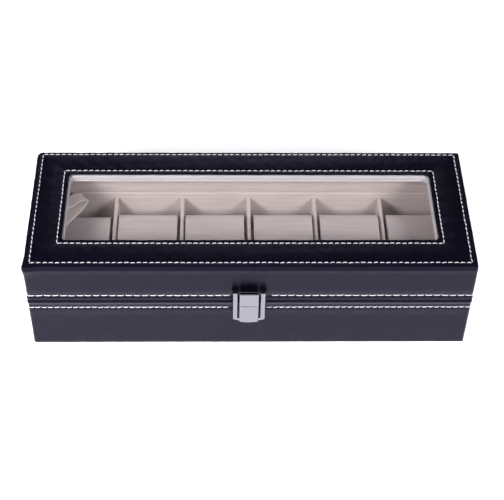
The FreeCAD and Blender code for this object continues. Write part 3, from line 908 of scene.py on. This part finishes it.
def stitch_template():
    """Rings of a unit stitch: share of its length, share across and height. Both ends dip."""
    share = np.sin(np.linspace(-1, 1, STITCH_RINGS) * math.pi / 2)[:, None]
    angle = (np.arange(STITCH_SIDES) / STITCH_SIDES * 2 * math.pi)[None, :]
    thick = 1 - 0.30 * share ** 6
    across = thick * THREAD_WIDTH / 2 * np.cos(angle)
    height = 0.10 - 0.55 * share ** 6 + thick * THREAD_HEIGHT / 2 * np.sin(angle)
    return np.broadcast_to(share / 2, across.shape), across, height


def stitches(name, sides, length_share, slant, seed, body, node):
    """One mesh of separate stitches. sides is a list of (middles, pitch, direction, outward)."""
    random = np.random.default_rng(seed)
    share, across, height = stitch_template()
    all_points = []
    for middles, pitch, direction, outward in sides:
        count = len(middles)
        direction, outward = np.array(direction, float), np.array(outward, float)
        beside = np.cross(outward, direction)
        turn = np.radians(slant + random.normal(0, 2.6, count))[:, None]
        run = np.cos(turn) * direction + np.sin(turn) * beside
        over = np.cos(turn) * beside - np.sin(turn) * direction
        long = pitch * length_share * random.uniform(0.95, 1.06, count)
        off_line = random.normal(0, 0.07, count)[:, None]
        off_place = random.normal(0, 0.05, count)[:, None]
        middle = middles + off_line * beside + off_place * direction
        points = (
            middle[:, None, None, :]
            + (share[None] * long[:, None, None])[..., None] * run[:, None, None, :]
            + across[None, ..., None] * over[:, None, None, :]
            + height[None, ..., None] * outward
        )
        all_points.append(points.reshape(-1, 3))
    points = np.concatenate(all_points)
    each = STITCH_RINGS * STITCH_SIDES
    starts = (np.arange(len(points) // each) * each)[:, None, None]
    tube = grid_faces(STITCH_RINGS, STITCH_SIDES, False, True)[None][:, :, ::-1] + starts
    caps = np.stack([np.arange(STITCH_SIDES), np.arange(each - STITCH_SIDES, each)[::-1]])[None] + starts
    piece = build(name, points, tube.reshape(-1, 4), caps.reshape(-1, STITCH_SIDES))
    number = np.arange(len(points))
    ring, side = (number % each) // STITCH_SIDES, number % STITCH_SIDES
    unwrap(piece, "thread", side / STITCH_SIDES * 0.35, ring / STITCH_RINGS * 2.4)
    dress(piece, thread_finish, "seam_thread", body, node)
    print(name, len(points) // each, "stitches")
    return piece


def wall_sides(z, pitch):
    """The four runs of a wall seam, without the stitches behind the latch."""
    sides = []
    x, y = half_length, half_depth
    runs = [
        ((-x, -y, z), (x, -y, z), (1, 0, 0), (0, -1, 0)),
        ((x, -y, z), (x, y, z), (0, 1, 0), (1, 0, 0)),
        ((x, y, z), (-x, y, z), (-1, 0, 0), (0, 1, 0)),
        ((-x, y, z), (-x, -y, z), (0, -1, 0), (-1, 0, 0)),
    ]
    for start, end, direction, outward in runs:
        middles, exact = stitch_places(start, end, pitch)
        if outward[1] < 0:
            middles = middles[np.abs(middles[:, 0] - latch_middle) > latch_reach + exact * 0.30]
        sides.append((middles - 0.06 * np.array(outward), exact, direction, outward))
    return sides


def top_sides(rectangle, pitch):
    """The four runs of a seam on the lid's top."""
    x0, x1, y0, y1 = rectangle
    z = top_z - 0.08
    up = (0, 0, 1)
    runs = [
        ((x0, y0, z), (x1, y0, z), (1, 0, 0)),
        ((x1, y0, z), (x1, y1, z), (0, 1, 0)),
        ((x1, y1, z), (x0, y1, z), (-1, 0, 0)),
        ((x0, y1, z), (x0, y0, z), (0, -1, 0)),
    ]
    return [(*stitch_places(start, end, pitch), direction, up) for start, end, direction in runs]


lid_rows = wall_sides(lid_seam, PITCH["lid_wall"])
base_rows = wall_sides(base_seam, PITCH["base_wall"])
outer_rows = top_sides(outer_seam, PITCH["top_outer"])
window_rows = top_sides(window_seam, PITCH["window"])
stitches("lid_wall_stitches", lid_rows, 0.86, 1.0, 21, "lid", "lid_wall_stitching")
stitches("base_wall_stitches", base_rows, 0.86, 5.0, 22, "base", "base_wall_stitching")
stitches("top_outer_stitches", outer_rows, 0.74, 5.0, 23, "lid", "top_outer_stitching")
stitches("window_stitches", window_rows, 0.78, 5.0, 24, "lid", "window_stitching")

# %% [markdown]
# ## Velvet-covered panels
# The lining is card wrapped in velvet, so its edges are round and slightly full. A block with rounded edges
# has a neat formula: move every point of a cube's surface to the nearest point of a smaller inner cube, and
# then out again by the radius. Points near an edge are spaced by the tangent of equal angles, which makes
# the arcs even.

# %% Soft blocks
def axis_places(low, high, radius, step, arc=3):
    """Places along one axis of a block: close together in the rounded ends, a step apart between."""
    rounding = radius * np.tan(np.radians(np.linspace(45, 0, arc + 1)))[:-1]
    count = max(1, math.ceil((high - low - 2 * radius) / step))
    middle = np.linspace(low + radius, high - radius, count + 1)
    return np.concatenate([low + radius - rounding, middle, (high - radius + rounding)[::-1]])


def block_surface(low, high, radius, step):
    """Points and faces of a closed block with rounded edges, and which points lie on an edge along Y or Z.

    With core the box's points clipped to the inner box, a point p becomes core + radius (p - core) / |p -
    core|. The six faces share their border points, which are merged by rounding."""
    places = [axis_places(low[k], high[k], radius, step) for k in range(3)]
    points, faces, count = [], [], 0
    for axis in range(3):
        across, over = (axis + 1) % 3, (axis + 2) % 3
        for end in (0, -1):
            a, b = np.meshgrid(places[across], places[over], indexing="ij")
            side = np.empty(a.shape + (3,))
            side[..., axis], side[..., across], side[..., over] = places[axis][end], a, b
            quads = grid_faces(*a.shape) + count
            faces.append(quads[:, ::-1] if end == 0 else quads)
            points.append(side.reshape(-1, 3))
            count += a.size
    points = np.concatenate(points)
    _, first, merged = np.unique(np.round(points, 4), axis=0, return_index=True, return_inverse=True)
    points = points[first]
    extreme = np.isclose(points, low) | np.isclose(points, high)
    core = np.clip(points, np.array(low) + radius, np.array(high) - radius)
    away = points - core
    points = core + radius * away / np.linalg.norm(away, axis=1, keepdims=True)
    return points, merged.ravel()[np.concatenate(faces)], extreme[:, 0] & (extreme[:, 1] | extreme[:, 2])


PANEL_ROUNDING = {"lining": 0.75, "divider": 1.1}
PANEL_GRID = 6.0
for node, velvet_body in body_of.items():
    kind = "divider" if node.startswith("divider") else "lining"
    if kind in node:
        low, high = cad(node)
        points, faces, _ = block_surface(low, high, PANEL_ROUNDING[kind], PANEL_GRID)
        panel = build("velvet_" + node, points, faces)
        dress(panel, lining_velvet, "lining_velvet", velvet_body, node)
print("velvet panels made")

# %% [markdown]
# ## The velvet frame under the window
# The same rings make this frame: a flange that hides the lid's inside, and a low wall round the opening
# that reaches up to the glass. Its velvet folds over the top of that wall, outwards under the glass, so no
# wood shows.

# %% Window frame
bezel_low, bezel_high = cad("window_bezel")
flange_top = cad("lid_top_board")[0][2]
flange = (bezel_low[0], bezel_high[0], bezel_low[1], bezel_high[1])
WALL, FOLD, ROUND = 1.3, 3.6, 0.5
LOWER_ROUND, FLANGE_RADIUS = 0.9, 0.3
wall_top = bezel_high[2] + 0.06
fold_z = bezel_high[2] - 0.1
bezel_rows = [
    (flange, ROUND, bezel_low[2]),
    (flange, 0.0, bezel_low[2] + ROUND),
    (flange, 0.0, flange_top),
    (bezel_hole, -WALL, flange_top),
    (bezel_hole, -WALL, fold_z),
    (bezel_hole, -FOLD, fold_z),
    (bezel_hole, -FOLD, wall_top),
    (bezel_hole, -ROUND, wall_top),
]
turn = np.linspace(0, math.pi / 2, 5)
for a in turn[1:]:
    inset = -ROUND * (1 - math.sin(a))
    bezel_rows.append((bezel_hole, inset, wall_top - ROUND * (1 - math.cos(a))))
bezel_rows += [(bezel_hole, 0.0, z) for z in np.linspace(bezel_high[2] - 1, bezel_low[2] + LOWER_ROUND, 4)]
for a in turn:
    inset = -LOWER_ROUND * (1 - math.cos(a))
    bezel_rows.append((bezel_hole, inset, bezel_low[2] + LOWER_ROUND * (1 - math.sin(a))))
radius_of = {flange: FLANGE_RADIUS, bezel_hole: HOLE_RADIUS}
bezel_outlines = np.array([outline(edge, (radius_of[edge],) * 4, inset) for edge, inset, _ in bezel_rows])
bezel_columns = ring_columns(even_shares(250, 3.0), even_shares(60, 3.0), 9)
flat, normal = rings(bezel_outlines[:, :4], bezel_outlines[:, 4:], bezel_columns)
bezel_z = np.array([z for _, _, z in bezel_rows])
bezel_points = np.concatenate([flat, np.broadcast_to(bezel_z[:, None, None], flat.shape[:2] + (1,))], 2)
bezel_faces = grid_faces(len(bezel_rows), flat.shape[1], True, True)
bezel_piece = build("velvet_window_frame", bezel_points.reshape(-1, 3), bezel_faces)
dress(bezel_piece, bezel_velvet, "bezel_velvet", "lid", "window_bezel")

# %% [markdown]
# ## Cushions
# A cushion is foam in a velvet cover: a band goes round it, and two side pieces are sewn in. The seams stay
# nearly straight while the faces between them swell. Cloth simulation finds that shape: the pads are blown
# up with their seams pinned. Each starts a little too small, and the growth is capped so that none reaches
# its divider.

# %% Plain pads with round ends
CUSHION_END, CUSHION_EDGE, CUSHION_STEP = 11.5, 0.9, 2.7
SHRINK = np.array([0.15, 0.4, 0.35])
GROWTH = np.array([0.4, 0.8, 0.8])
PRESSURE, FRAMES = 6.0, 24


def pad(low, high):
    """A block whose four edges along X are round.

    A point that is a share u and v into a square corner moves to the disc in it: both shares are multiplied
    by max(u, v) / sqrt(u^2 + v^2)."""
    points, faces, seam = block_surface(low, high, CUSHION_EDGE, CUSHION_STEP)
    middle, half = (low + high)[1:] / 2, (high - low)[1:] / 2 - CUSHION_END
    flat = points[:, 1:] - middle
    share = (np.abs(flat) - half) / CUSHION_END
    corner = (share > 0).all(1)
    scale = share.max(1) / np.maximum(np.hypot(share[:, 0], share[:, 1]), 1e-9)
    rounded = np.sign(flat) * (half + CUSHION_END * share * scale[:, None])
    points[:, 1:] = middle + np.where(corner[:, None], rounded, flat)
    return points, faces, seam


def blow_up(piece, pressure, frames):
    """Runs Blender's cloth with the seam pinned, and returns how far each point moves, in millimetres."""
    scene = bpy.context.scene
    modifier = piece.modifiers.new("Cloth", "CLOTH")
    settings = modifier.settings
    settings.quality = 5
    settings.mass = 0.2
    settings.tension_stiffness = 10
    settings.compression_stiffness = 10
    settings.shear_stiffness = 5
    settings.bending_stiffness = 0.3
    settings.use_pressure = True
    settings.uniform_pressure_force = pressure
    settings.effector_weights.gravity = 0
    settings.vertex_group_mass = "seam"
    modifier.collision_settings.use_collision = False
    modifier.collision_settings.use_self_collision = False
    modifier.point_cache.frame_start = 1
    modifier.point_cache.frame_end = frames
    before = np.empty(len(piece.data.vertices) * 3, np.float32)
    piece.data.vertices.foreach_get("co", before)
    for number in range(1, frames + 1):
        scene.frame_set(number)
    after = np.empty_like(before)
    piece.evaluated_get(bpy.context.evaluated_depsgraph_get()).data.vertices.foreach_get("co", after)
    piece.modifiers.remove(modifier)
    scene.frame_set(1)
    return (after - before).reshape(-1, 3) / MM


# %% Blow them up together, then part them
cushion_names = sorted(node for node in body_of if node.startswith("cushion"))
pads = [pad(cad(node)[0] + SHRINK, cad(node)[1] - SHRINK) for node in cushion_names]
counts = np.cumsum([0] + [len(points) for points, _, _ in pads])
all_points = np.concatenate([points for points, _, _ in pads])
all_faces = np.concatenate([faces + start for (_, faces, _), start in zip(pads, counts)])
together = build("pads", all_points, all_faces)
pinned = together.vertex_groups.new(name="seam")
pinned.add(np.flatnonzero(np.concatenate([seam for _, _, seam in pads])).tolist(), 1.0, "REPLACE")
swollen = blow_up(together, PRESSURE, FRAMES)
print("cushions swell by up to", np.abs(swollen).max(0).round(2), "mm")
bpy.data.objects.remove(together)
all_points = all_points + np.clip(swollen, -GROWTH, GROWTH)

for node, (_, faces, seam), start in zip(cushion_names, pads, counts):
    cushion = build("velvet_" + node, all_points[start : start + len(seam)], faces)
    smooth = cushion.modifiers.new("Subdivision", "SUBSURF")
    smooth.levels = smooth.render_levels = 1
    dress(cushion, cushion_velvet, "cushion_velvet", node, node)
print(len(cushion_names), "cushions")

# %% [markdown]
# ## The ribbon
# A ribbon from the base's left wall to the lid's stops the lid from falling back. With the lid shut it
# folds over on itself behind the cushion. The route's points are listed, each with the direction of the
# ribbon's width, and a smooth curve through them carries a flat cross-section.

# %% Ribbon
RIBBON_WIDTH, RIBBON_THICK = 10.3, 0.3
wall_x = -141.75
route = np.array([
    (wall_x, 6.0, 36.9), (wall_x, 6.0, 44.4), (wall_x + 2.1, 7.8, 45.3), (-131.0, 20.5, 45.6),
    (-119.6, 38.4, 46.4), (-118.3, 40.1, 47.6), (-119.4, 39.6, 48.9), (-130.0, 30.6, 50.8),
    (wall_x + 2.1, 22.4, 52.8), (wall_x, 21.0, 54.4), (wall_x, 21.0, 61.9),
])
widths = np.array([
    (0, 1, 0), (0, 1, 0), (-0.3, 0.95, 0), (-0.7, 0.71, 0), (-0.6, 0.8, 0), (-0.6, 0.8, 0), (-0.6, 0.8, 0),
    (-0.63, 0.78, 0), (-0.3, 0.95, 0), (0, 1, 0), (0, 1, 0),
])


def smooth_route(points, places, per_step):
    """A curve through every point. Places are distances along it, the slope at a point is the mean change
    about it, and between two points h apart a cubic joins both points p and both slopes m: (2t^3 - 3t^2 +
    1) p0 + (t^3 - 2t^2 + t) h m0 + (3t^2 - 2t^3) p1 + (t^3 - t^2) h m1."""
    slope = np.gradient(points, places, axis=0)
    t = np.linspace(0, 1, per_step, endpoint=False)[:, None, None]
    h = np.diff(places)[None, :, None]
    a, b = points[None, :-1], points[None, 1:]
    da, db = slope[None, :-1] * h, slope[None, 1:] * h
    leaving = (2 * t**3 - 3 * t**2 + 1) * a + (t**3 - 2 * t**2 + t) * da
    curve = leaving + (3 * t**2 - 2 * t**3) * b + (t**3 - t**2) * db
    return np.concatenate([curve.transpose(1, 0, 2).reshape(-1, 3), points[-1:]])


places = np.append(0, np.cumsum(np.linalg.norm(np.diff(route, axis=0), axis=1)))
PER_STEP = 10
centre = smooth_route(route, places, PER_STEP)
across = smooth_route(widths, places, PER_STEP)
run = np.gradient(centre, axis=0)
run /= np.linalg.norm(run, axis=1, keepdims=True)
across -= (across * run).sum(1, keepdims=True) * run
across /= np.linalg.norm(across, axis=1, keepdims=True)
facing = np.cross(run, across)
ACROSS_POINTS = 9
share = np.linspace(-0.5, 0.5, ACROSS_POINTS)
thick = RIBBON_THICK / 2 * np.where(np.abs(share) > 0.49, 0.3, 1.0)
share, thick = np.append(share, share[::-1]), np.append(-thick, thick[::-1])
curl = 0.15 * (0.25 - share ** 2)
beside = (RIBBON_WIDTH * share)[None, :, None] * across[:, None]
ribbon_points = centre[:, None] + beside + (thick + curl)[None, :, None] * facing[:, None]
around = len(share)
ends = np.stack([np.arange(around)[::-1], np.arange(around) + around * (len(centre) - 1)])
ribbon_faces = grid_faces(len(centre), around, False, True)
ribbon = build("stay_ribbon_weave", ribbon_points.reshape(-1, 3), ribbon_faces, ends)
travelled = np.append(0, np.cumsum(np.linalg.norm(np.diff(centre, axis=0), axis=1)))
shape = ribbon_points.shape[:2]
u = np.broadcast_to(share * RIBBON_WIDTH / 6, shape)
v = np.broadcast_to((travelled / 4)[:, None], shape)
unwrap(ribbon, "weave", u.ravel(), v.ravel())
store(ribbon, "selvedge", np.broadcast_to((np.abs(share) > 0.40).astype(float), shape))
dress(ribbon, ribbon_finish, "ribbon_satin", None, "stay_ribbon")
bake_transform(ribbon)

# %% [markdown]
# ## Metal parts
# The CAD shapes of the hinges, latch, screws and nails are right, but their edges are perfectly sharp, and
# a sharp edge never catches light. Each is copied, its loose triangles are merged into whole faces, and a
# small bevel rounds every edge. The plate, the pin and the nails deep between the latch's bars get painted
# shade: their colour is darkened nearly to black, standing in for the shadow that falls there.

# %% Softened copies of CAD nodes
BEVEL_SEGMENTS = 2
SHARP = math.radians(35)


def softened(node, width, material, slot, name):
    """A copy of a CAD node with merged points, whole flat faces and rounded edges."""
    mesh = frame["nodes"][node].data.copy()
    work = bmesh.new()
    work.from_mesh(mesh)
    bmesh.ops.remove_doubles(work, verts=work.verts, dist=1e-6)
    bmesh.ops.dissolve_limit(work, angle_limit=math.radians(1), verts=work.verts, edges=work.edges)
    work.to_mesh(mesh)
    work.free()
    mesh.shade_smooth()
    mesh.set_sharp_from_angle(angle=SHARP)
    piece = bpy.data.objects.new(name, mesh)
    bpy.context.scene.collection.objects.link(piece)
    bevel = piece.modifiers.new("Bevel", "BEVEL")
    bevel.width = width * MM
    bevel.segments = BEVEL_SEGMENTS
    bevel.limit_method = "ANGLE"
    bevel.angle_limit = SHARP
    bevel.harden_normals = True
    # Painted shade: each node's darkening number, which the metal's colour reads.
    store(piece, "painted_shade", np.full(len(mesh.vertices), PAINTED_SHADE.get(node, 0.0)))
    return dress(piece, material, slot, body_of[node], node)


# Painted shade: how far the colour of each part deep between the latch's bars is darkened, standing in for
# the shadow there.
PAINTED_SHADE = {"latch_hinge_plate": 0.9, "latch_pin": 0.8, "latch_plate_nails": 0.6}
METAL = {
    "latch_flap": ("latch_nickel", 0.22), "latch_hinge_plate": ("latch_nickel", 0.12),
    "latch_catch_plate": ("latch_nickel", 0.12), "latch_pin": ("latch_nickel", 0.1),
    "latch_plate_nails": ("hinge_steel", 0.08), "catch_plate_nails": ("hinge_steel", 0.08),
    "base_hinge_leaf_left": ("hinge_steel", 0.12), "base_hinge_leaf_right": ("hinge_steel", 0.12),
    "lid_hinge_leaf_left": ("hinge_steel", 0.12), "lid_hinge_leaf_right": ("hinge_steel", 0.12),
    "hinge_pin_left": ("hinge_steel", 0.1), "hinge_pin_right": ("hinge_steel", 0.1),
    "base_hinge_screws": ("hinge_steel", 0.05), "lid_hinge_screws": ("hinge_steel", 0.05),
}
for node, (slot, width) in METAL.items():
    softened(node, width, latch_nickel if slot == "latch_nickel" else hinge_steel, slot, node + "_metal")

# %% [markdown]
# ## Pieces that keep their CAD shape
# The boards, the glass and the felt are exactly what the CAD model says, so they only need a finish.

# %% Finish the carried-over nodes
KEPT = {"board": board_finish, "glass": glass_finish, "underside": felt_finish}
for node, piece in frame["nodes"].items():
    for word, finish in KEPT.items():
        if word in node and not piece.hide_render:
            piece.data.materials.clear()
            piece.data.materials.append(finish)
